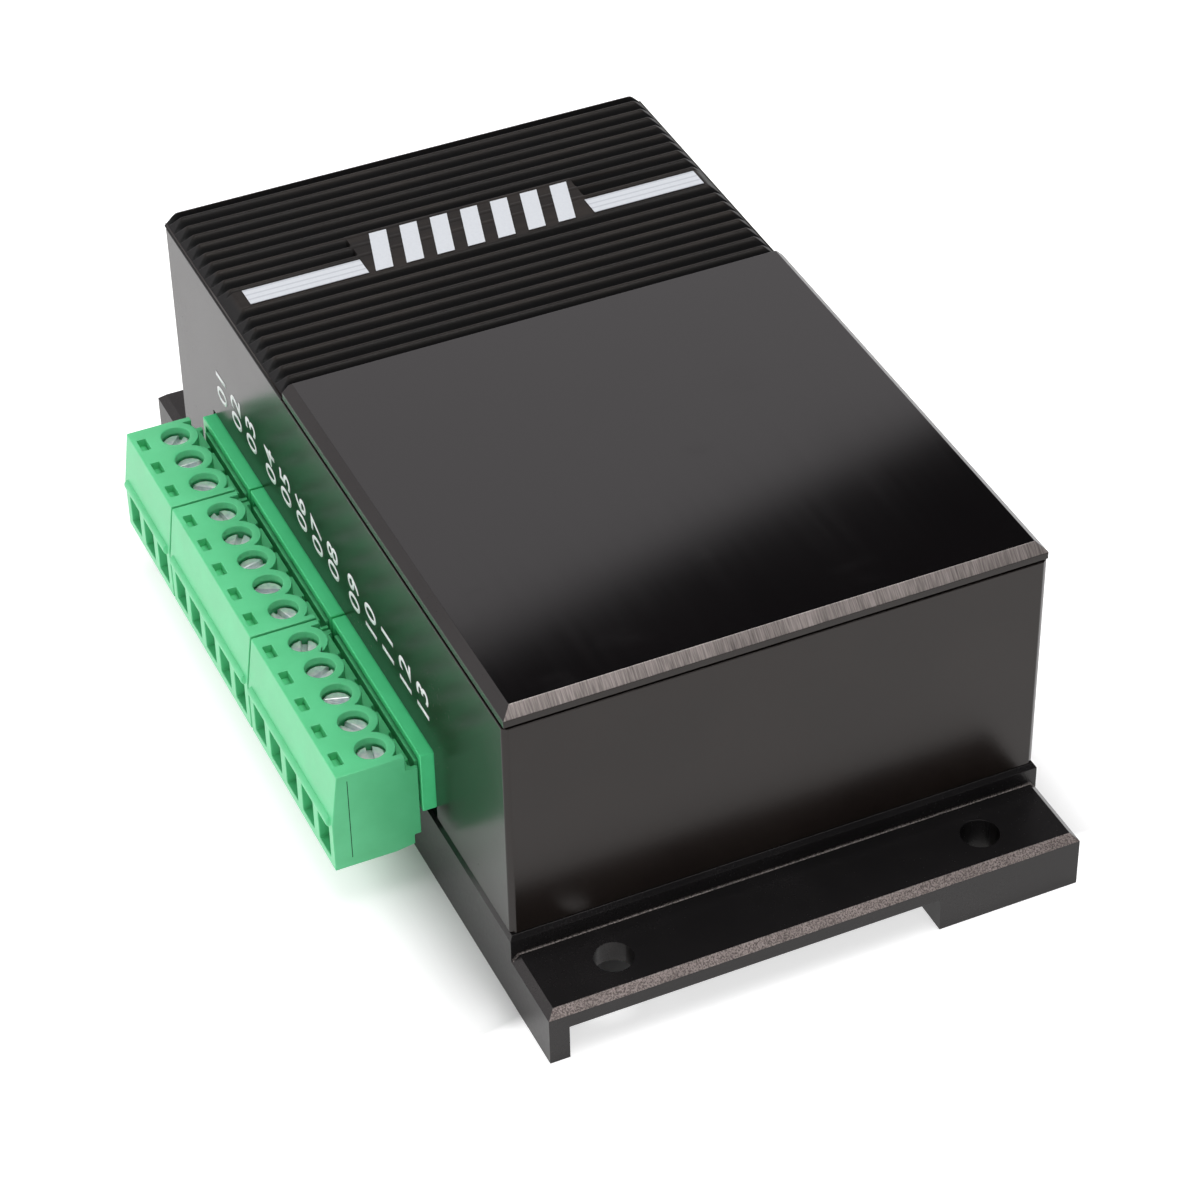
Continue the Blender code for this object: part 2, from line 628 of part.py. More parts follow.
plugs = []
for number, row in enumerate(groups, 1):
    ends = (row[0] - PLUG_END, row[-1] + PLUG_END)
    origin = ((ends[0] + ends[1]) / 2, BORE_Y, PIN_Z)
    body = outline_solid(plug_profile, "X", ends)
    plug = mesh_object("plug_%d" % number, body, GREEN_NYLON, origin=origin)
    plugs.extend([plug] * len(row))

    tongue = [((row[0] - TONGUE_END, row[-1] + TONGUE_END), (PLUG_REAR - 0.5, tongue_rear), tongue_z)]
    boolean(plug, cutter_boxes("join_tongue_%d" % number, tongue), "UNION")

    # The shelf behind the bores is cut down to the ledge, leaving a round wall at each bore.
    shelf = [
        (
            (ends[0] + PLUG_END_WALL, ends[1] - PLUG_END_WALL),
            (BORE_Y, FRONT + 1),
            (PLUG_LEDGE, PLUG_TOP + 2),
        )
    ]
    shelf_cut = cutter_boxes("cut_shelf_%d" % number, shelf)
    walls = [(px, BORE_Y, (PLUG_LEDGE - 1, PLUG_TOP + 3), BORE_D + 2 * BORE_WALL) for px in row]
    for k, wall in enumerate(walls):
        boolean(shelf_cut, cutter_bores("keep_wall_%d_%d" % (number, k), [wall], 20))
    boolean(plug, shelf_cut)

    bores = [(px, BORE_Y, (BORE_FLOOR, PLUG_TOP + 1), BORE_D) for px in row]
    boolean(plug, cutter_bores("cut_bores_%d" % number, bores, 20))
    shafts = [(px, BORE_Y, (CHAMBER_TOP - 1, BORE_FLOOR + 1), TERMINAL_SHANK_D + 2 * GAP) for px in row]
    boolean(plug, cutter_bores("cut_shafts_%d" % number, shafts, 16))
    chamber_y = around(BORE_Y, CLAMP_DEPTH / 2 + GAP)
    chambers = [(around(px, CHAMBER_W / 2), chamber_y, (CHAMBER_BASE, CHAMBER_TOP)) for px in row]
    boolean(plug, cutter_boxes("cut_chambers_%d" % number, chambers))
    entry_z = (CHAMBER_BASE + 0.2, CHAMBER_BASE + 0.2 + ENTRY_H)
    entries = [(around(px, ENTRY_W / 2), (PLUG_FRONT - 2, BORE_Y), entry_z) for px in row]
    boolean(plug, cutter_boxes("cut_entries_%d" % number, entries))
    slot_z = (PLUG_TOP - TEST_SLOT_DEPTH, PLUG_TOP + 1)
    slot_y = (PLUG_FRONT + PLUG_SLANT_IN + 0.65, PLUG_FRONT + PLUG_SLANT_IN + 0.65 + TEST_SLOT_Y)
    slots = [(around(px, TEST_SLOT_X / 2), slot_y, slot_z) for px in row]
    boolean(plug, cutter_boxes("cut_test_slots_%d" % number, slots))
    sockets = [(around(px, SOCKET / 2), (BORE_Y, tongue_rear + 2), around(PIN_Z, SOCKET / 2)) for px in row]
    boolean(plug, cutter_boxes("cut_sockets_%d" % number, sockets))

# ---------------------------------------------------------------- terminal screws and clamps
for number, (px, plug) in enumerate(zip(pole_x, plugs), 1):
    at = (px, BORE_Y, HEAD_TOP)
    head, shank = TERMINAL_HEAD_D / 2, TERMINAL_SHANK_D / 2
    tip = SHANK_TIP - HEAD_TOP
    outline = [
        (0, 0),
        (head - 0.3, 0),
        (head, -0.3),
        (head, -TERMINAL_HEAD_H),
        (shank, -TERMINAL_HEAD_H),
        (shank, tip + 0.4),
        (shank - 0.4, tip),
        (0, tip),
    ]
    screw = turned("screw_%02d" % number, outline, 14, ZINC_STEEL, at, plug)
    slot = bmesh.new()
    add_box(slot, around(0, head + 1), around(0, SLOT_W / 2), (-SLOT_DEPTH, 1.0))
    slot.transform(Matrix.Rotation(number * math.radians(137.5), 4, "Z"))
    slot.transform(Matrix.Translation(at))
    boolean(screw, mesh_object("cut_slot_%02d" % number, slot, guide=True))

    bm = bmesh.new()
    add_box(bm, around(px, CLAMP_W / 2), around(BORE_Y, CLAMP_DEPTH / 2), (CLAMP_BASE, CLAMP_TOP))
    clamp = mesh_object("clamp_%02d" % number, bm, ZINC_STEEL, origin=(px, BORE_Y, CLAMP_BASE), parent=plug)
    window = [
        (
            around(px, CLAMP_W / 2 - CLAMP_SIDE),
            around(BORE_Y, CLAMP_DEPTH),
            (CLAMP_BASE + CLAMP_FLOOR, CLAMP_TOP - CLAMP_ROOF),
        )
    ]
    boolean(clamp, cutter_boxes("cut_window_%02d" % number, window))
    thread = [(px, BORE_Y, (CLAMP_TOP - CLAMP_ROOF - 1, CLAMP_TOP + 1), TERMINAL_SHANK_D + 2 * GAP)]
    boolean(clamp, cutter_bores("cut_thread_%02d" % number, thread, 14))
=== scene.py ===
"""Looks for a stepper driver module: anodised case, ribbed heat sink and green pull-off terminals.

Every piece is worked out from the frame's own boxes. Lengths are metres; MM turns millimetres
into metres. X runs along the housing, -Y is the connector side and +Z is up."""

import math

import bmesh
import bpy
import numpy as np
from mathutils import Matrix, Vector


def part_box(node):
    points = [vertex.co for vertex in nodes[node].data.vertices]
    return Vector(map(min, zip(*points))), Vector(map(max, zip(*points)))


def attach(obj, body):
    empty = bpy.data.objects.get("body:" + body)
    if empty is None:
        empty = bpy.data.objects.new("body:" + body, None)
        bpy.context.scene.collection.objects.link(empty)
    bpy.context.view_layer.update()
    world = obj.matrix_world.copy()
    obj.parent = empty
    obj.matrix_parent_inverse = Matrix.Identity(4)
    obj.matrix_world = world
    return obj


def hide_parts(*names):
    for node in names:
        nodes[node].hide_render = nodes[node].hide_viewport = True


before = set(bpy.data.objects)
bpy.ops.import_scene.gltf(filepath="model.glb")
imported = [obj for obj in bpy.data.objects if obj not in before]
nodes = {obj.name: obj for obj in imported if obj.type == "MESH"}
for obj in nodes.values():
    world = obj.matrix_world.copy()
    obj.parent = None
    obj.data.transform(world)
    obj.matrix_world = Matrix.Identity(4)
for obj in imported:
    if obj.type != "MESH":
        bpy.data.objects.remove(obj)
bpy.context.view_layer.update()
MM = 0.001
ROOT = "case"


# ------------------------------------------------------------------ places taken from the frame
def limits(node):
    """Lowest and highest corner of a node as two arrays."""
    low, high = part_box(node)
    return np.array(low), np.array(high)


HOUSING_LOW, HOUSING_HIGH = limits("housing_frame")
SINK_LOW, SINK_HIGH = limits("heat_sink")
BASE_LOW, BASE_HIGH = limits("base_plate")
MIDDLE_Y = (HOUSING_LOW[1] + HOUSING_HIGH[1]) / 2
POLE_NUMBERS = range(1, 14)
POLES = [sum(limits(f"screw_{k:02d}")) / 2 for k in POLE_NUMBERS]
PLUGS = ("plug_1", "plug_2", "plug_3")
HEADERS = ("header_1", "header_2", "header_3")


# ------------------------------------------------------------------ finishes
class Wire:
    """A socket that can be used in arithmetic; each operation adds one Math node."""

    def __init__(self, finish, socket):
        self.finish = finish
        self.socket = socket

    def _do(self, operation, first, second):
        values = {0: first, 1: second}
        return self.finish.node("ShaderNodeMath", {"operation": operation}, values)

    def __add__(self, other):
        return self._do("ADD", self, other)

    __radd__ = __add__

    def __sub__(self, other):
        return self._do("SUBTRACT", self, other)

    def __rsub__(self, other):
        return self._do("SUBTRACT", other, self)

    def __mul__(self, other):
        return self._do("MULTIPLY", self, other)

    __rmul__ = __mul__

    def clamp(self, low=0.0, high=1.0):
        return self._do("MAXIMUM", self._do("MINIMUM", self, high), low)

    def step(self, low, high):
        """0 below low, 1 above high, and a smooth step between."""
        settings = {"interpolation_type": "SMOOTHSTEP"}
        return self.finish.node("ShaderNodeMapRange", settings, {0: self, 1: low, 2: high})


class Finish:
    """A Principled material being put together; constants are set on the shader's own sockets."""

    def __init__(self, name, **constants):
        self.material = bpy.data.materials.new(name)
        self.material.use_nodes = True
        self.tree = self.material.node_tree
        self.shader = self.tree.nodes["Principled BSDF"]
        self.place = self.node("ShaderNodeTexCoord", {}, {}, "Object")
        for label, value in constants.items():
            socket = self.shader.inputs[label.replace("_", " ")]
            if isinstance(value, tuple):
                value = (*value, 1.0)
            socket.default_value = value

    def node(self, kind, settings, values, output=0):
        """Adds a node: settings first, then values or links for its sockets, and gives an output."""
        made = self.tree.nodes.new(kind)
        for label, value in settings.items():
            if label == "stops":
                ramp = made.color_ramp
                while len(ramp.elements) < len(value):
                    ramp.elements.new(1.0)
                for element, (position, colour) in zip(ramp.elements, value):
                    element.position = position
                    element.color = (*colour, 1.0)
            else:
                setattr(made, label, value)
        for label, value in values.items():
            socket = made.inputs[label]
            if isinstance(value, Wire):
                self.tree.links.new(value.socket, socket)
            else:
                if isinstance(value, tuple) and len(value) == 3 and socket.type == "RGBA":
                    value = (*value, 1.0)
                socket.default_value = value
        return Wire(self, made.outputs[output])

    def feed(self, label, wire):
        """Links a wire to a socket of the shader."""
        self.tree.links.new(wire.socket, self.shader.inputs[label])

    def axes(self):
        """Object X, Y and Z as three wires, in metres."""
        return [self.node("ShaderNodeSeparateXYZ", {}, {0: self.place}, k) for k in range(3)]

    def size(self, wire):
        """A wire's value without its sign."""
        return self.node("ShaderNodeMath", {"operation": "ABSOLUTE"}, {0: wire})

    def noise(self, scale, detail=2.0, stretch=(1.0, 1.0, 1.0), roughness=0.5):
        """Noise from 0 to 1; scale is cells per metre, stretch multiplies it along each axis."""
        where = self.node("ShaderNodeMapping", {}, {0: self.place, "Scale": stretch})
        values = {"Vector": where, "Scale": scale, "Detail": detail, "Roughness": roughness}
        return self.node("ShaderNodeTexNoise", {}, values)

    def blend(self, factor, first, second):
        """A colour mixed from first to second by factor."""
        settings = {"data_type": "RGBA"}
        return self.node("ShaderNodeMix", settings, {0: factor, 6: first, 7: second}, 2)

    def bump(self, height, distance, strength=1.0):
        """Feeds a bump of so many metres to the shader."""
        values = {"Height": height, "Distance": distance, "Strength": strength}
        self.feed("Normal", self.node("ShaderNodeBump", {}, values))


def anodised(name, dark, light, roughness, grain, ior=1.5):
    """Dyed oxide on aluminium: nearly black below a clear sheen, with fine etched grain."""
    finish = Finish(name, IOR=ior, Specular_Tint=(1.0, 0.95, 0.93))
    cloud = finish.noise(90, 3.0)
    fine = finish.noise(2600, 2.0)
    finish.feed("Base Color", finish.blend(cloud.step(0.3, 0.75), dark, light))
    finish.feed("Roughness", roughness + (cloud - 0.5) * 0.06 + (fine - 0.5) * grain)
    finish.bump(fine, 0.000004 + 0.00002 * grain)
    return finish.material


def lid_satin():
    """The lid's smooth face: faint milling along X and soft handling marks."""
    finish = Finish("lid_satin", IOR=1.55)
    cloud = finish.noise(45, 4.0)
    marks = finish.noise(160, 3.0, (1.0, 0.5, 1.0))
    lines = finish.noise(900, 2.0, (0.06, 1.0, 1.0))
    fine = finish.noise(3800, 1.0)
    dark, light = (0.0022, 0.0018, 0.0020), (0.0042, 0.0035, 0.0037)
    finish.feed("Base Color", finish.blend(cloud, dark, light))
    rough = 0.06 + (cloud - 0.5) * 0.03 + marks.step(0.62, 0.8) * 0.03 + (lines - 0.5) * 0.02
    finish.feed("Roughness", rough)
    finish.bump(fine * 0.5 + lines * 0.5, 0.0000005)
    return finish.material


def milled_edge(name, bright, across=(1.0, 1.0, 1.0), roughness=0.38):
    """A bright machined edge with tool marks across it."""
    finish = Finish(name, Metallic=1.0)
    marks = finish.noise(5200, 2.0, across, 0.7)
    patch = finish.noise(420, 2.0, across)
    dark = tuple(0.30 * c for c in bright)
    level = (marks.step(0.25, 0.75) * 0.75 + patch.step(0.3, 0.8) * 0.35).clamp()
    finish.feed("Base Color", finish.blend(level, dark, bright))
    finish.feed("Roughness", roughness + (marks - 0.5) * 0.2)
    finish.bump(marks, 0.00001)
    return finish.material


def speckled_edge(name, bright, dark):
    """A machined edge that the dye has left grainy."""
    finish = Finish(name, Metallic=0.9)
    grains = finish.noise(5200, 2.0, (1.0, 1.0, 1.0), 0.75)
    patch = finish.noise(260, 3.0)
    level = (grains.step(0.36, 0.62) * (0.45 + patch * 0.9)).clamp()
    finish.feed("Base Color", finish.blend(level, dark, bright))
    finish.feed("Roughness", 0.42 + (grains - 0.5) * 0.2)
    finish.bump(grains, 0.000015)
    return finish.material


def rib_black():
    """Matt black ribs with a painted highlight: a browner, streaky colour along their crests."""
    finish = Finish("rib_black", IOR=1.28)
    height = finish.axes()[2]
    fine = finish.noise(2400, 2.0)
    streak = finish.noise(700, 2.0, (1.0, 0.08, 1.0))
    crest = height.step(float(SINK_HIGH[2]) - 0.0007, float(SINK_HIGH[2]))
    # Painted highlight: the crests are coloured browner, in streaks, for the light they catch.
    crest_painted_highlight = (crest * (0.35 + streak.step(0.3, 0.8) * 0.65)).clamp()
    finish.feed("Base Color", finish.blend(crest_painted_highlight, (0.0025, 0.0025, 0.0028), (0.021, 0.0160, 0.0130)))
    finish.feed("Roughness", 0.5 + (fine - 0.5) * 0.14)
    finish.bump(fine, 0.000006)
    return finish.material


def screen_paint(name, lines, white=(0.62, 0.645, 0.68)):
    """White screen paint; lines is the pitch along X of darker bands of painted shade that stand for
    ribs under the paint, or 0 for none.
    """
    finish = Finish(name, Roughness=0.45)
    fine = finish.noise(3000, 2.0)
    shade = fine.step(0.2, 0.9) * 0.12
    if lines:
        # Painted shade: bands across X stand for the light and shade of ribs under the paint.
        ridge = finish.axes()[0] * (2 * math.pi / lines)
        painted_rib_shade = finish.node("ShaderNodeMath", {"operation": "SINE"}, {0: ridge})
        shade = shade + painted_rib_shade.step(0.35, 1.0) * 0.42
    finish.feed("Base Color", finish.blend(shade.clamp(), white, (0.30, 0.32, 0.37)))
    return finish.material


def green_plastic(name, colour, shade, ior=1.5):
    """Moulded nylon: even colour, slightly cloudy, with a soft eggshell surface."""
    finish = Finish(name, IOR=ior)
    cloud = finish.noise(230, 3.0)
    fine = finish.noise(2600, 3.0)
    finish.feed("Base Color", finish.blend(cloud.step(0.25, 0.8), colour, shade))
    finish.feed("Roughness", 0.36 + (cloud - 0.5) * 0.1 + (fine - 0.5) * 0.08)
    finish.bump(fine * 0.6 + cloud * 0.4, 0.00001)
    return finish.material


def plated(name, bright, dull, roughness, metallic=1.0):
    """Plated steel: small bright and cloudy patches with turned marks."""
    finish = Finish(name, Metallic=metallic)
    patch = finish.noise(1400, 3.0)
    fine = finish.noise(5200, 2.0)
    finish.feed("Base Color", finish.blend(patch.step(0.3, 0.7), bright, dull))
    finish.feed("Roughness", roughness + (patch - 0.5) * 0.2 + (fine - 0.5) * 0.1)
    finish.bump(fine, 0.000006)
    return finish.material


def laminate():
    """Solder mask over glass cloth."""
    finish = Finish("board_mask", Roughness=0.35)
    weave = finish.noise(1400, 1.0, (1.0, 0.3, 1.0)) * finish.noise(1400, 1.0, (0.3, 1.0, 1.0))
    finish.feed("Base Color", finish.blend(weave * 2.0, (0.008, 0.07, 0.03), (0.02, 0.15, 0.06)))
    finish.bump(weave, 0.00002)
    return finish.material


def moulded_part(name, dark, light, roughness):
    """Moulded or sleeved component body with a grainy surface."""
    finish = Finish(name)
    fine = finish.noise(3200, 2.0)
    finish.feed("Base Color", finish.blend(fine, dark, light))
    finish.feed("Roughness", roughness + (fine - 0.5) * 0.15)
    finish.bump(fine, 0.00001)
    return finish.material


BROWN_DYE = ((0.0065, 0.0043, 0.0034), (0.0095, 0.0066, 0.0054))
BLACK_DYE = ((0.0062, 0.0058, 0.0062), (0.0100, 0.0092, 0.0097))
SIDE_DYE = ((0.006, 0.005, 0.005), (0.011, 0.009, 0.009))
EDGE_DYE = ((0.0035, 0.003, 0.0031), (0.006, 0.0052, 0.0054))
WALLS = anodised("wall_anodised", *BROWN_DYE, 0.24, 0.08, 1.40)
WALL_SIDE = anodised("side_anodised", *BROWN_DYE, 0.25, 0.08, 1.36)
BASE = anodised("base_anodised", *BLACK_DYE, 0.26, 0.08, 1.38)
BASE_SIDE = anodised("base_side_anodised", *SIDE_DYE, 0.33, 0.08, 1.32)
LID = lid_satin()
LID_EDGE = milled_edge("lid_milled_edge", (0.37, 0.325, 0.31), (0.06, 1.0, 0.06))
LID_SIDE = anodised("lid_side_edge", *EDGE_DYE, 0.3, 0.1, 1.4)
FLANGE_EDGE = speckled_edge("flange_grainy_edge", (0.42, 0.36, 0.34), (0.12, 0.098, 0.094))
FOOT_LINE = speckled_edge("foot_grainy_line", (0.15, 0.132, 0.125), (0.012, 0.011, 0.011))
RIBS = rib_black()
BAR_WHITE = screen_paint("bar_white", 0.0)
# The stripes carry bands of painted shade every 0.95 mm.
STRIPE_WHITE = screen_paint("stripe_white", 0.95 * MM)
NUMERAL_WHITE = screen_paint("numeral_white", 0.0, (0.82, 0.84, 0.84))
GREEN = green_plastic("green_nylon", (0.092, 0.55, 0.235), (0.112, 0.61, 0.275))
GREEN_HEADER = green_plastic("green_nylon_header", (0.078, 0.70, 0.268), (0.092, 0.76, 0.305))
# Near-black green for a flat strip of painted shadow in a fine split.
SPLIT_SHADOW_GREEN = green_plastic("split_shadow", (0.004, 0.036, 0.015), (0.012, 0.085, 0.036), 1.15)
ZINC = plated("zinc_plate", (0.98, 0.98, 0.98), (0.74, 0.78, 0.83), 0.36, 0.75)
CLAMP_ZINC = plated("clamp_zinc", (0.66, 0.66, 0.62), (0.45, 0.44, 0.40), 0.34)
TIN = plated("tin_plate", (0.72, 0.70, 0.64), (0.55, 0.53, 0.48), 0.3)
OXIDE = plated("black_oxide", (0.06, 0.06, 0.062), (0.025, 0.025, 0.027), 0.34)
BOARD = laminate()
CHIP = moulded_part("chip_epoxy", (0.012, 0.012, 0.013), (0.03, 0.03, 0.032), 0.5)
THERMAL = moulded_part("thermal_silicone", (0.22, 0.26, 0.33), (0.32, 0.36, 0.43), 0.7)
SLEEVE = moulded_part("can_sleeve", (0.008, 0.009, 0.018), (0.014, 0.015, 0.028), 0.28)
FERRITE = moulded_part("ferrite", (0.03, 0.03, 0.032), (0.06, 0.06, 0.062), 0.6)


# ------------------------------------------------------------------ making pieces
def finish_piece(name, mesh, materials, body, *replaced, slot=None):
    """Links a mesh as a piece that rides on a body and stands for some nodes."""
    for material in materials:
        mesh.materials.append(material)
    piece = bpy.data.objects.new(name, mesh)
    bpy.context.scene.collection.objects.link(piece)
    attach(piece, body)
    if replaced:
        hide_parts(*replaced)
    return piece


def mesh_from(name, points, faces, smooth=True):
    """A mesh from an array of points and an array of quads, with doubles merged."""
    mesh = bpy.data.meshes.new(name)
    mesh.from_pydata(np.asarray(points).reshape(-1, 3).tolist(), [], np.asarray(faces).tolist())
    shape = bmesh.new()
    shape.from_mesh(mesh)
    bmesh.ops.remove_doubles(shape, verts=shape.verts, dist=1e-7)
    bmesh.ops.dissolve_degenerate(shape, edges=shape.edges, dist=1e-8)
    bmesh.ops.recalc_face_normals(shape, faces=shape.faces)
    shape.to_mesh(mesh)
    shape.free()
    if smooth:
        mesh.shade_smooth()
    return mesh


def close_rims(mesh):
    """Fills the open rims of a mesh and turns its faces outwards."""
    shape = bmesh.new()
    shape.from_mesh(mesh)
    bmesh.ops.holes_fill(shape, edges=shape.edges)
    bmesh.ops.recalc_face_normals(shape, faces=shape.faces)
    shape.to_mesh(mesh)
    shape.free()


def points_of(mesh):
    """The points of a mesh as an array of rows of three."""
    points = np.zeros(len(mesh.vertices) * 3, np.float32)
    mesh.vertices.foreach_get("co", points)
    return points.reshape(-1, 3)


def grid_faces(rows, columns, wrap=False):
    """Quads of a grid of rows by columns; wrap joins the last column to the first."""
    row = np.arange(rows - 1)[:, None]
    column = np.arange(columns if wrap else columns - 1)[None, :]
    after = (column + 1) % columns
    corners = [row * columns + column, row * columns + after]
    corners += [(row + 1) * columns + after, (row + 1) * columns + column]
    return np.stack(corners, -1).reshape(-1, 4)


def merged_copy(node, name):
    """A copy of a node's mesh with its loose triangles joined."""
    mesh = nodes[node].data.copy()
    mesh.name = name
    mesh.materials.clear()
    shape = bmesh.new()
    shape.from_mesh(mesh)
    bmesh.ops.remove_doubles(shape, verts=shape.verts, dist=1e-6)
    shape.to_mesh(mesh)
    shape.free()
    return mesh


def softened(mesh, width, segments=2, angle=30.0, join=1e-7):
    """Joins a mesh's flat faces, and gives a function that adds the Bevel modifier to its piece.

    join is the distance under which points are merged first. A large one clears the slivers that
    cuts leave, and then the bevel isn't held back by short edges."""
    shape = bmesh.new()
    shape.from_mesh(mesh)
    bmesh.ops.remove_doubles(shape, verts=shape.verts, dist=join)
    flat = math.radians(0.6)
    bmesh.ops.dissolve_limit(shape, angle_limit=flat, verts=shape.verts, edges=shape.edges)
    shape.to_mesh(mesh)
    shape.free()
    mesh.shade_smooth()

    def add(piece):
        soften = piece.modifiers.new("worn_edges", "BEVEL")
        soften.width = width
        soften.segments = segments
        soften.limit_method = "ANGLE"
        soften.angle_limit = math.radians(angle)
        soften.miter_outer = "MITER_ARC"
        soften.use_clamp_overlap = join < 1e-6
        flatten = piece.modifiers.new("flat_faces", "WEIGHTED_NORMAL")
        flatten.weight = 100
        return piece

    return add


SLOPED = 0.6
UPRIGHT = 0.1
STRAIGHT = 0.9


def paint_faces(mesh, number, test):
    """Gives a material number to the faces whose normal and middle pass the test."""
    count = len(mesh.polygons)
    normals = np.zeros(count * 3, np.float32)
    middles = np.zeros(count * 3, np.float32)
    index = np.zeros(count, np.int32)
    mesh.polygons.foreach_get("normal", normals)
    mesh.polygons.foreach_get("center", middles)
    mesh.polygons.foreach_get("material_index", index)
    index[test(normals.reshape(-1, 3), middles.reshape(-1, 3))] = number
    mesh.polygons.foreach_set("material_index", index)


def swept(name, profile, path):
    """A closed profile of (across, up) pairs carried along a path, with closed ends.

    Each ring is the path's point plus across times a level direction square to the path's run,
    plus up times Z."""
    profile = np.asarray(profile, float)
    path = np.asarray(path, float)
    run = path[-1] - path[0]
    run /= np.linalg.norm(run)
    up = np.array([0, 0, 1.0])
    across = np.cross(run, up)
    rings = path[:, None] + profile[None, :, :1] * across + profile[None, :, 1:] * up
    mesh = mesh_from(name, rings, grid_faces(len(path), len(profile), wrap=True), smooth=False)
    close_rims(mesh)
    return mesh


def box_as_prism(low, high):
    """A box given by two corners, as a prism along X."""
    corners = [(low[1], low[2]), (high[1], low[2]), (high[1], high[2]), (low[1], high[2])]
    return (low[0], high[0]), corners


def cut_by_boxes(mesh, boxes, prisms=()):
    """Takes boxes, each a pair of corners, and prisms along X out of a mesh, one after another.

    A prism is its two X ends and its four (y, z) corners."""
    shape = bmesh.new()
    for (x0, x1), corners in list(prisms) + [box_as_prism(*box) for box in boxes]:
        rings = [[shape.verts.new((x, y, z)) for y, z in corners] for x in (x0, x1)]
        shape.faces.new(rings[0])
        shape.faces.new(rings[1][::-1])
        for k in range(4):
            after = (k + 1) % 4
            shape.faces.new((rings[0][k], rings[1][k], rings[1][after], rings[0][after]))
    bmesh.ops.recalc_face_normals(shape, faces=shape.faces)
    cutter_mesh = bpy.data.meshes.new("cutter")
    shape.to_mesh(cutter_mesh)
    shape.free()
    cutter = bpy.data.objects.new("cutter", cutter_mesh)
    work = bpy.data.objects.new("work", mesh)
    for obj in (cutter, work):
        bpy.context.scene.collection.objects.link(obj)
    cut = work.modifiers.new("cut", "BOOLEAN")
    cut.object = cutter
    cut.solver = "EXACT"
    cut.use_self = True
    graph = bpy.context.evaluated_depsgraph_get()
    made = bpy.data.meshes.new_from_object(work.evaluated_get(graph))
    bpy.data.objects.remove(work)
    bpy.data.objects.remove(cutter)
    bpy.data.meshes.remove(cutter_mesh)
    made.shade_smooth()
    return made


# ------------------------------------------------------------------ base, housing and lid
def moved_points(mesh, axis, test, shift):
    """Moves the points of a mesh that pass a test along one axis."""
    points = points_of(mesh)
    points[test(points), axis] += shift
    mesh.vertices.foreach_set("co", points.ravel())


NEAR = 0.01 * MM
SEAM_RISE = 0.25 * MM
WALL_OUT = 0.12 * MM
mesh = merged_copy("base_plate", "base_body")
moved_points(mesh, 2, lambda p: p[:, 2] > BASE_HIGH[2] - NEAR, SEAM_RISE)
add_edges = softened(mesh, 0.16 * MM)
paint_faces(
    mesh,
    1,
    lambda n, c: (abs(abs(n[:, 0]) - 0.707) < 0.05) & (n[:, 2] > SLOPED) & (abs(c[:, 0]) > 60 * MM),
)
paint_faces(mesh, 2, lambda n, c: abs(n[:, 1]) > STRAIGHT)
base_looks = [BASE, FLANGE_EDGE, BASE_SIDE]
base = finish_piece("base_body", mesh, base_looks, ROOT, "base_plate", slot="black_anodised")
add_edges(base)

mesh = merged_copy("housing_frame", "housing_walls")
moved_points(mesh, 1, lambda p: p[:, 1] < HOUSING_LOW[1] + NEAR, -WALL_OUT)
moved_points(mesh, 1, lambda p: p[:, 1] > HOUSING_HIGH[1] - NEAR, WALL_OUT)
add_edges = softened(mesh, 0.12 * MM)
paint_faces(mesh, 1, lambda n, c: abs(n[:, 1]) > STRAIGHT)
wall_looks = [WALLS, WALL_SIDE]
walls = finish_piece("housing_walls", mesh, wall_looks, ROOT, "housing_frame", slot="slate_anodised")
add_edges(walls)

mesh = merged_copy("top_plate", "lid")
add_edges = softened(mesh, 0.06 * MM)
paint_faces(mesh, 1, lambda n, c: (n[:, 0] > SLOPED) & (n[:, 2] > SLOPED))
paint_faces(mesh, 2, lambda n, c: (abs(n[:, 1]) > SLOPED) & (n[:, 2] > SLOPED))
paint_faces(mesh, 3, lambda n, c: abs(n[:, 2]) < UPRIGHT)
lid_looks = [LID, LID_EDGE, LID_SIDE, WALLS]
lid = finish_piece("lid", mesh, lid_looks, ROOT, "top_plate", slot="satin_plate")
add_edges(lid)


FLANGE_TOP = 7.3 * MM


def foot_line(name, side):
    """The grainy fillet where the raised block meets a flange: a hollow quarter round along Y."""
    block_x = side * (HOUSING_HIGH[0] + 0.4 * MM)
    top = FLANGE_TOP
    radius = 0.24 * MM
    turn = np.linspace(0, math.pi / 2, 7)
    hollow = np.c_[radius - radius * np.sin(turn), radius - radius * np.cos(turn)]
    sunk = -0.05 * MM
    corner = np.array([[radius, sunk], [sunk, sunk], [sunk, radius]])
    profile = np.r_[hollow[::-1], [[radius, 0.0]], corner] * np.array([side, 1.0])
    drop, inset = 0.9 * MM, 0.15 * MM
    path = [
        (block_x, BASE_LOW[1] + inset, top - drop + inset),
        (block_x, BASE_LOW[1] + drop, top),
        (block_x, BASE_HIGH[1] - drop, top),
        (block_x, BASE_HIGH[1] - inset, top - drop + inset),
    ]
    mesh = swept(name, profile, path)
    finish_piece(name, mesh, [FOOT_LINE], ROOT, slot="black_anodised")


foot_line("foot_line_plus", 1)
foot_line("foot_line_minus", -1)


# ------------------------------------------------------------------ ribbed heat sink
RIB_PITCH = 2.15 * MM
RIB_COUNT = 18
PANEL_HALF_X = 4.7 * MM
PANEL_HALF_Y = 15.0 * MM
PANEL_Y = 0.8 * MM
PANEL_SUNK = 0.06 * MM
STRIPE_X = (-32.25 * MM, -29.2 * MM)
LAND_HALF_X = 1.75 * MM


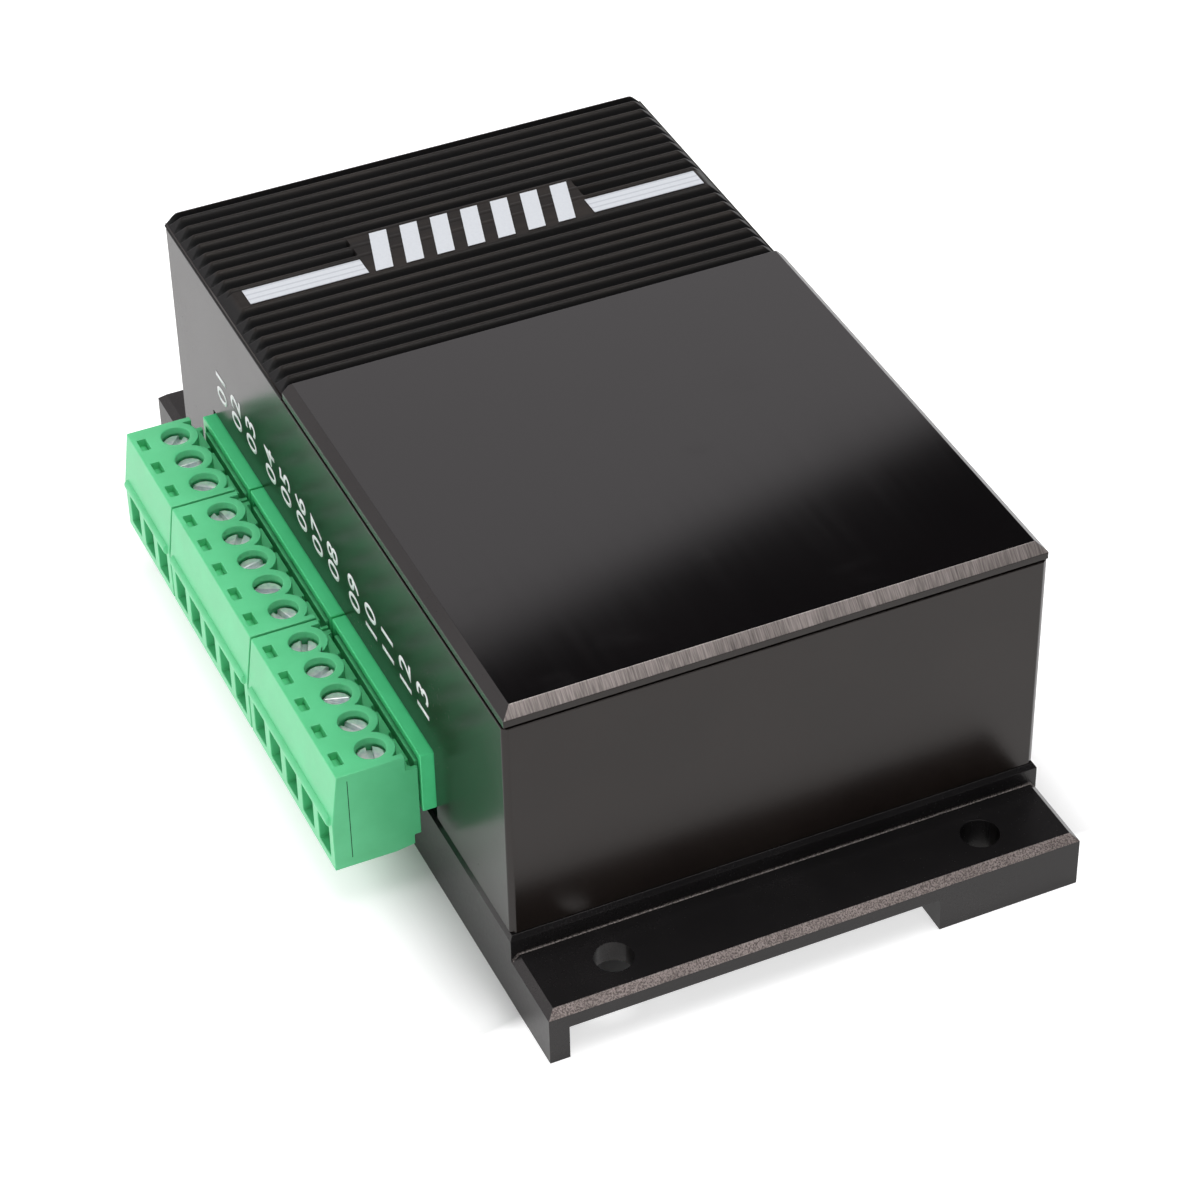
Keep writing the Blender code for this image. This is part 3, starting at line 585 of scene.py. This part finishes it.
def rib_surface():
    """Height of the ribbed top over X and Y.

    Along X it is a row of rounded crests, a raised cosine to a power. It is cut off by a plane that
    slopes down to both sides, so that the grooves run out in the slope, and the two are joined by a
    smooth minimum. A flat panel and a flat land under the two stripes interrupt the crests."""
    middle_x = (SINK_LOW[0] + SINK_HIGH[0]) / 2
    crest, root = SINK_HIGH[2], SINK_HIGH[2] - 1.25 * MM
    first = middle_x - (RIB_COUNT - 1) / 2 * RIB_PITCH
    local = np.linspace(-0.5, 0.5, 17)[:-1]
    rib = (0.5 + 0.5 * np.cos(2 * math.pi * local)) ** 0.8
    x = np.concatenate([first + (k + local) * RIB_PITCH for k in range(RIB_COUNT)])
    height = np.tile(rib, RIB_COUNT)
    lead = np.array([SINK_LOW[0] + 0.02 * MM, SINK_LOW[0] + 0.22 * MM, x[0] - 0.1 * MM])
    tail = np.array([0.55, 0.45, 0.25, 0.02]) * MM
    x = np.r_[lead, x, SINK_HIGH[0] - tail]
    height = np.r_[0.75, 0.8, 0.1, height, 0.0, 0.28, 0.3, 0.3]
    panel_x = middle_x - RIB_PITCH / 2
    half = HOUSING_HIGH[1] - MIDDLE_Y + 0.1 * MM
    slope_w, slope_h = 1.8 * MM, 1.72 * MM
    side = half - slope_w * np.r_[1.5, 1.25, np.linspace(1.1, 0.0, 17)]
    inner = np.array([PANEL_HALF_Y - 0.1 * MM, PANEL_HALF_Y + 0.1 * MM])
    y = np.r_[-side[::-1], PANEL_Y - inner[::-1], PANEL_Y + inner, side]
    slope = crest - slope_h * np.clip((abs(y) - half + slope_w) / slope_w, 0, 1)
    grid = root + (crest - root) * height[:, None] * np.ones_like(y)[None, :]
    panel = (abs(x - panel_x) < PANEL_HALF_X)[:, None] & (abs(y - PANEL_Y) < PANEL_HALF_Y)[None, :]
    land = (abs(x - sum(STRIPE_X) / 2) < LAND_HALF_X)[:, None] & np.ones_like(y, bool)[None, :]
    grid = np.where(panel | land, crest - PANEL_SUNK, grid)
    slope = slope[None, :]
    blend = 0.35 * MM
    share = np.clip(0.5 + 0.5 * (slope - grid) / blend, 0, 1)
    return x, y + MIDDLE_Y, slope * (1 - share) + grid * share - blend * share * (1 - share)


def heat_sink_top():
    """The ribbed surface closed into a slab by a skirt and a flat bottom."""
    x, y, grid = rib_surface()
    top = np.zeros((*grid.shape, 3))
    top[..., 0], top[..., 1], top[..., 2] = x[:, None], y[None, :], grid
    rows, columns = grid.shape
    edge = np.r_[
        np.arange(columns),
        np.arange(1, rows) * columns + columns - 1,
        (rows - 1) * columns + np.arange(columns - 2, -1, -1),
        np.arange(rows - 2, 0, -1) * columns,
    ]
    points = top.reshape(-1, 3)
    skirt = points[edge].copy()
    skirt[:, 2] = SINK_HIGH[2] - 1.76 * MM
    all_points = np.r_[points, skirt]
    count = len(edge)
    base = len(points)
    a = np.arange(count)
    b = (a + 1) % count
    sides = np.c_[edge[a], edge[b], base + b, base + a]
    mesh = mesh_from("heat_sink_ribs", all_points, np.r_[grid_faces(rows, columns), sides])
    close_rims(mesh)
    mesh.set_sharp_from_angle(angle=math.radians(38))
    return mesh


finish_piece("heat_sink_ribs", heat_sink_top(), [RIBS], ROOT, slot="black_anodised")


def heat_sink_body():
    """The block under the ribs: the node's own mesh cut off below the ribbed surface."""
    low = (-1, -1, SINK_HIGH[2] - 1.45 * MM)
    mesh = cut_by_boxes(merged_copy("heat_sink", "heat_sink_body"), [(low, (1, 1, 1))])
    finish_piece("heat_sink_body", mesh, [WALLS], ROOT, "heat_sink", slot="black_anodised")


heat_sink_body()

PANEL_X = (SINK_LOW[0] + SINK_HIGH[0]) / 2 - RIB_PITCH / 2
PAINT_Z = SINK_HIGH[2] - PANEL_SUNK
PAINT = 0.02 * MM


def rectangle(x_ends, y_ends):
    """The corners of a rectangle in the XY plane, taken round from its lowest corner."""
    return [(x_ends[a], y_ends[b]) for a, b in ((0, 0), (1, 0), (1, 1), (0, 1))]


def slab_outline(name, corners, low, high, material, body=ROOT, slot="black_anodised"):
    """A flat outline of (x, y) corners between two heights."""
    corners = np.asarray(corners, float)
    count = len(corners)
    points = np.r_[np.c_[corners, np.full(count, low)], np.c_[corners, np.full(count, high)]]
    a = np.arange(count)
    b = (a + 1) % count
    mesh = bpy.data.meshes.new(name)
    faces = [tuple(q) for q in np.c_[a, b, count + b, count + a].tolist()]
    faces += [tuple(range(count - 1, -1, -1)), tuple(range(count, 2 * count))]
    mesh.from_pydata(points.tolist(), [], faces)
    shape = bmesh.new()
    shape.from_mesh(mesh)
    bmesh.ops.recalc_face_normals(shape, faces=shape.faces)
    shape.to_mesh(mesh)
    shape.free()
    return finish_piece(name, mesh, [material], body, slot=slot)


def slanted_bars():
    """Seven plain leaning bars across the flat panel."""
    height = 3.9 * MM
    width, gap, lean = 2.25 * MM, 1.75 * MM, 1.1 * MM
    count = 7
    start = MIDDLE_Y + PANEL_Y - ((count - 1) * (width + gap) + width) / 2
    for k in range(count):
        y = start + k * (width + gap)
        corners = [
            (PANEL_X - height, y + lean),
            (PANEL_X - height, y + width + lean),
            (PANEL_X + height, y + width - lean),
            (PANEL_X + height, y - lean),
        ]
        slab_outline(f"panel_bar_{k + 1}", corners, PAINT_Z - PAINT, PAINT_Z + PAINT, BAR_WHITE)


slanted_bars()
for label, span in (("left", (-29.4, -14.3)), ("right", (15.4, 30.2))):
    corners = rectangle(STRIPE_X, (MIDDLE_Y + span[0] * MM, MIDDLE_Y + span[1] * MM))
    slab_outline(f"stripe_{label}", corners, PAINT_Z - PAINT, PAINT_Z + PAINT, STRIPE_WHITE)


# ------------------------------------------------------------------ numerals beside the poles
def numeral(text, x, z, height):
    """Two digits on the connector wall, reading upwards: text X runs up and text Y runs to -X."""
    curve = bpy.data.curves.new("numeral", "FONT")
    curve.body = text
    curve.size = 1.0
    curve.resolution_u = 4
    curve.offset = 0.012
    curve.space_character = 1.08
    holder = bpy.data.objects.new("numeral", curve)
    bpy.context.scene.collection.objects.link(holder)
    graph = bpy.context.evaluated_depsgraph_get()
    mesh = bpy.data.meshes.new_from_object(holder.evaluated_get(graph))
    bpy.data.objects.remove(holder)
    points = points_of(mesh).astype(float)
    low, high = points.min(0), points.max(0)
    scale = height / (high[1] - low[1])
    across = (points[:, 0] - (low[0] + high[0]) / 2) * scale
    up = (points[:, 1] - (low[1] + high[1]) / 2) * scale
    face = HOUSING_LOW[1] - 0.14 * MM
    placed = np.c_[x - up, np.full(len(points), face), z + across].astype(np.float32)
    mesh.vertices.foreach_set("co", placed.ravel())
    mesh.materials.clear()
    shape = bmesh.new()
    shape.from_mesh(mesh)
    bmesh.ops.remove_doubles(shape, verts=shape.verts, dist=1e-7)
    shape.normal_update()
    front = sum((f.normal.y * f.calc_area() for f in shape.faces), 0.0)
    if front > 0:
        bmesh.ops.reverse_faces(shape, faces=shape.faces)
    shape.to_mesh(mesh)
    shape.free()
    mesh.name = f"numeral_{text}"
    piece = finish_piece(f"numeral_{text}", mesh, [NUMERAL_WHITE], ROOT, slot="slate_anodised")
    thick = piece.modifiers.new("paint", "SOLIDIFY")
    thick.thickness = PAINT
    thick.offset = 0.0


NUMERAL_SHIFT, NUMERAL_Z, NUMERAL_HEIGHT = 1.0 * MM, 25.7 * MM, 3.4 * MM
for k, pole in enumerate(POLES, 1):
    numeral(f"{k:02d}", pole[0] + NUMERAL_SHIFT, NUMERAL_Z, NUMERAL_HEIGHT)


# ------------------------------------------------------------------ terminals
def bore_liner(name, pole, top, body):
    """A tube in a screw bore: a ring section (rounded at its mouth) turned round the screw's axis."""
    inner, outer, depth = 1.77 * MM, 2.42 * MM, 0.9 * MM
    top = top + 0.008 * MM
    bend = np.linspace(0, math.pi / 2, 4)
    mouth = 0.12 * MM
    section = np.c_[inner + mouth - mouth * np.cos(bend), top - mouth + mouth * np.sin(bend)]
    rim = [[outer, top - 0.004 * MM], [outer, top - depth]]
    section = np.r_[[[inner, top - depth]], section, rim]
    turn = np.linspace(0, 2 * math.pi, 49)[:-1]
    points = np.zeros((len(section), len(turn), 3))
    points[..., 0] = pole[0] + section[:, :1] * np.cos(turn)
    points[..., 1] = pole[1] + section[:, :1] * np.sin(turn)
    points[..., 2] = section[:, 1:]
    points = np.concatenate([points, points[:1]])
    mesh = mesh_from(name, points, grid_faces(len(points), len(turn), wrap=True))
    mesh.set_sharp_from_angle(angle=math.radians(40))
    finish_piece(name, mesh, [GREEN], body, slot="green_nylon")


REACH = 0.2 * MM
LIP = 0.45 * MM
SLANT_IN = 1.35 * MM
TEST_SLOT_HALF = 1.15 * MM
TEST_SLOT_Y = (1.96 * MM, 3.06 * MM)
TEST_SLOT_DEPTH = 1.4 * MM
GAP_WIDTH, GAP_DEPTH = 0.45 * MM, 3.9 * MM
BAY_HALF, BAY_WIDTH, BAY_DEPTH = 0.55 * MM, 0.85 * MM, 5.2 * MM
BAY_FROM_BORE = 2.0 * MM
BEAD_RADIUS = 0.80 * MM
BEAD_RISE = 6.85 * MM
PLUG_BACK = limits("header_1")[0][1] - 0.3 * MM


def plug_cuts(low, high, mine):
    """The boxes and the prism that a plug is cut by: the set-back wire side, the gap towards the
    header with a bay between every two bores, the test slots, and the slanted front."""
    front, top, back = low[1], high[2], PLUG_BACK
    bead_z = low[2] + BEAD_RISE
    outer = (low[0] - MM, high[0] + MM)
    tiny = 0.02 * MM

    def box(x_ends, y_ends, bottom, roof=top + MM):
        return (x_ends[0], y_ends[0], bottom), (x_ends[1], y_ends[1], roof)

    gap_ends = (low[0] + 0.5 * MM, high[0] - 0.5 * MM)
    boxes = [box(outer, (front - MM, front + LIP), low[2] - MM, bead_z)]
    boxes.append(box(gap_ends, (back - GAP_WIDTH, back + tiny), top - GAP_DEPTH))
    for x in mine:
        slot_ends = (x - TEST_SLOT_HALF, x + TEST_SLOT_HALF)
        slot_y = (front + TEST_SLOT_Y[0], front + TEST_SLOT_Y[1])
        boxes.append(box(slot_ends, slot_y, top - TEST_SLOT_DEPTH))
        bay = x + BAY_FROM_BORE
        bay_y = (back - BAY_WIDTH, back + tiny / 2)
        boxes.append(box((bay - BAY_HALF, bay + BAY_HALF), bay_y, top - BAY_DEPTH))
    slant = [
        (front + LIP, bead_z - tiny),
        (front + SLANT_IN - tiny, top + tiny),
        (front - MM, top + tiny),
        (front - MM, bead_z - tiny),
    ]
    return boxes, [(outer, slant)]


def bead_mesh(name, low, high):
    """A bar along X with rounded ends: circles whose radius follows a quarter circle at each end."""
    turn = np.linspace(0, 2 * math.pi, 17)[:-1]
    steps = np.sin(np.linspace(0, math.pi / 2, 5))
    x0, x1 = low[0] - REACH + 0.62 * MM, high[0] + REACH - 0.62 * MM
    sizes = np.r_[np.sqrt(1 - (1 - steps) ** 2), np.sqrt(1 - (1 - steps[::-1]) ** 2)]
    sizes[0] = sizes[-1] = 0.02
    xs = np.r_[x0 + steps * BEAD_RADIUS * 0.5, x1 - steps[::-1] * BEAD_RADIUS * 0.5]
    rings = np.zeros((len(xs), len(turn), 3))
    rings[..., 0] = xs[:, None]
    across = BEAD_RADIUS * sizes[:, None]
    rings[..., 1] = low[1] + BEAD_RADIUS + across * np.cos(turn)
    rings[..., 2] = low[2] + BEAD_RISE - 0.15 * MM + across * np.sin(turn)
    mesh = mesh_from(name, rings, grid_faces(len(xs), len(turn), wrap=True))
    close_rims(mesh)
    mesh.shade_smooth()
    return mesh


def plug_piece(node):
    """A plug: its node cut to shape, with its ends brought nearer its neighbours, and on it the
    slots' floor, a near-black strip of painted shadow for a fine split near the front of its +X end,
    the bores' rims and the bead."""
    mesh = merged_copy(node, f"{node}_body")
    low, high = limits(node)
    moved_points(mesh, 0, lambda p: p[:, 0] < low[0] + NEAR, -REACH)
    moved_points(mesh, 0, lambda p: p[:, 0] > high[0] - NEAR, REACH)
    mine = [pole[0] for pole in POLES if low[0] < pole[0] < high[0]]
    mesh = cut_by_boxes(mesh, *plug_cuts(low, high, mine))
    add = softened(mesh, 0.11 * MM, join=0.02 * MM)
    piece = finish_piece(f"{node}_body", mesh, [GREEN], node, node, slot="green_nylon")
    add(piece)
    front = low[1]
    strip = rectangle((low[0] + MM, high[0] - MM), (front + 1.85 * MM, front + 3.2 * MM))
    floor_low, floor_top = high[2] - 1.6 * MM, high[2] - 1.1 * MM
    slab_outline(f"{node}_slot_floor", strip, floor_low, floor_top, GREEN, node, "green_nylon")
    end = high[0] + REACH
    # Painted shadow: a thin near-black strip just proud of the +X end stands for the shade in a fine
    # split.
    split_shadow_strip = rectangle((end - 0.1 * MM, end + 0.015 * MM), (front + 2.51 * MM, front + 2.60 * MM))
    bottom, top = low[2] + 1.3 * MM, high[2] - 0.9 * MM
    slab_outline(f"{node}_split_painted_shadow", split_shadow_strip, bottom, top, SPLIT_SHADOW_GREEN, node, "green_nylon")
    for k, pole in enumerate(POLES, 1):
        if pole[0] in mine:
            bore_liner(f"bore_liner_{k:02d}", pole, high[2], node)
    bead = bead_mesh(f"{node}_bead", low, high)
    finish_piece(f"{node}_bead", bead, [GREEN], node, slot="green_nylon")


for node in PLUGS:
    plug_piece(node)

for node in HEADERS:
    mesh = merged_copy(node, f"{node}_body")
    add = softened(mesh, 0.14 * MM)
    add(finish_piece(f"{node}_body", mesh, [GREEN_HEADER], ROOT, node, slot="green_nylon"))

for k in POLE_NUMBERS:
    node = f"screw_{k:02d}"
    mesh = merged_copy(node, f"{node}_body")
    add = softened(mesh, 0.14 * MM, 2, 40.0)
    add(finish_piece(f"{node}_body", mesh, [ZINC], node, node, slot="zinc_steel"))

# ------------------------------------------------------------------ nodes that keep their own mesh
KEPT = {
    "circuit_board": BOARD,
    "driver_chip": CHIP,
    "controller_chip": CHIP,
    "thermal_pad": THERMAL,
    "choke": FERRITE,
    "capacitor_1": SLEEVE,
    "capacitor_2": SLEEVE,
}
KEPT.update({f"pin_{k:02d}": TIN for k in POLE_NUMBERS})
KEPT.update({f"clamp_{k:02d}": CLAMP_ZINC for k in POLE_NUMBERS})
KEPT.update({f"case_screw_{k}": OXIDE for k in range(1, 5)})
for node, material in KEPT.items():
    nodes[node].data.materials.clear()
    nodes[node].data.materials.append(material)


# ------------------------------------------------------------------ floor, lights and camera
def make_floor():
    """A wide pale floor that glows a little, but not under the case; the glow fades out towards the
    case, which paints a shadow under and beside it.
    """
    mesh = bpy.data.meshes.new("floor")
    size = 3.0
    corners = [(-size, -size, 0), (size, -size, 0), (size, size, 0), (-size, size, 0)]
    mesh.from_pydata(corners, [], [(0, 1, 2, 3)])
    floor = bpy.data.objects.new("floor", mesh)
    bpy.context.scene.collection.objects.link(floor)
    finish = Finish("floor_paper", Roughness=0.9, Emission_Strength=0.65)
    cloud = finish.noise(3.0, 2.0)
    x, y, _ = finish.axes()
    # Painted shadow: no glow under the case, fading in outwards, over a longer way beside its long
    # sides.
    beside = finish.size(x).step(0.0535, 0.0570)
    ahead = finish.size(y - float(MIDDLE_Y)).step(0.029, 0.046)
    glow_beyond_painted_shadow = finish.node("ShaderNodeMath", {"operation": "MAXIMUM"}, {0: beside, 1: ahead})
    finish.feed("Emission Color", finish.blend(glow_beyond_painted_shadow, (0.0, 0.0, 0.0), (1.0, 1.0, 1.0)))
    finish.feed("Base Color", finish.blend(cloud, (0.66, 0.66, 0.66), (0.68, 0.68, 0.68)))
    mesh.materials.append(finish.material)


make_floor()


def softbox(name, towards, distance, size, power):
    """A rectangular light in a direction from the part, turned to face it."""
    direction = Vector(towards).normalized()
    data = bpy.data.lights.new(name, "AREA")
    data.shape = "RECTANGLE"
    data.size, data.size_y = size
    data.energy = power
    light = bpy.data.objects.new(name, data)
    light.location = Vector((0.0, 0.0, 0.02)) + direction * distance
    light.rotation_euler = direction.to_track_quat("Z", "Y").to_euler()
    bpy.context.scene.collection.objects.link(light)


softbox("key_left", (-0.25, -0.85, 0.62), 1.0, (0.8, 0.6), 3.35)
softbox("overhead", (0.1, 0.15, 1.0), 1.2, (0.9, 0.9), 12.5)
softbox("edge_light", (0.66, 0.22, 0.70), 1.0, (0.26, 0.26), 0.62)
softbox("fill_right", (0.90, -0.40, 0.34), 1.0, (0.8, 0.5), 2.2)


def studio_world():
    """A pale wall low at the back of the studio and a dim ceiling, softly joined.

    The join is a plane through the middle, given by its normal, so that the lid mirrors the wall
    over most of its length and the dim ceiling in its near corner."""
    world = bpy.data.worlds.new("studio")
    bpy.context.scene.world = world
    world.use_nodes = True
    tree = world.node_tree
    background = tree.nodes["Background"]
    where = tree.nodes.new("ShaderNodeTexCoord")
    dot = tree.nodes.new("ShaderNodeVectorMath")
    dot.operation = "DOT_PRODUCT"
    dot.inputs[1].default_value = (-0.697, -0.151, -0.701)
    tree.links.new(where.outputs["Object"], dot.inputs[0])
    ramp = tree.nodes.new("ShaderNodeMapRange")
    ramp.interpolation_type = "SMOOTHSTEP"
    for number, value in ((1, -0.004), (2, 0.012), (3, 0.0), (4, 1.0)):
        ramp.inputs[number].default_value = value
    tree.links.new(dot.outputs["Value"], ramp.inputs[0])
    mix = tree.nodes.new("ShaderNodeMix")
    mix.data_type = "RGBA"
    mix.inputs[6].default_value = (0.02, 0.02, 0.022, 1.0)
    mix.inputs[7].default_value = (1.00, 0.955, 0.975, 1.0)
    tree.links.new(ramp.outputs[0], mix.inputs[0])
    tree.links.new(mix.outputs[2], background.inputs["Color"])


studio_world()


def studio_camera():
    """A long lens looking down on the near right corner."""
    azimuth, elevation, roll = (math.radians(a) for a in (23.966, 39.360, 1.141))
    distance = 0.4546
    aim = Vector((-2.28, 9.31, 4.07)) * MM
    out = Vector(
        (
            math.cos(azimuth) * math.cos(elevation),
            -math.sin(azimuth) * math.cos(elevation),
            math.sin(elevation),
        )
    )
    right = Vector((0, 0, 1)).cross(out).normalized()
    up = out.cross(right)
    turned_right = right * math.cos(roll) - up * math.sin(roll)
    turned_up = right * math.sin(roll) + up * math.cos(roll)
    data = bpy.data.cameras.new("camera")
    data.sensor_width = 36.0
    data.lens = 111.55
    data.clip_start = 0.01
    camera = bpy.data.objects.new("camera", data)
    pose = Matrix((turned_right, turned_up, out)).transposed().to_4x4()
    pose.translation = aim + out * distance
    camera.matrix_world = pose
    bpy.context.scene.collection.objects.link(camera)
    bpy.context.scene.camera = camera


studio_camera()
bpy.context.scene.view_settings.view_transform = "Standard"
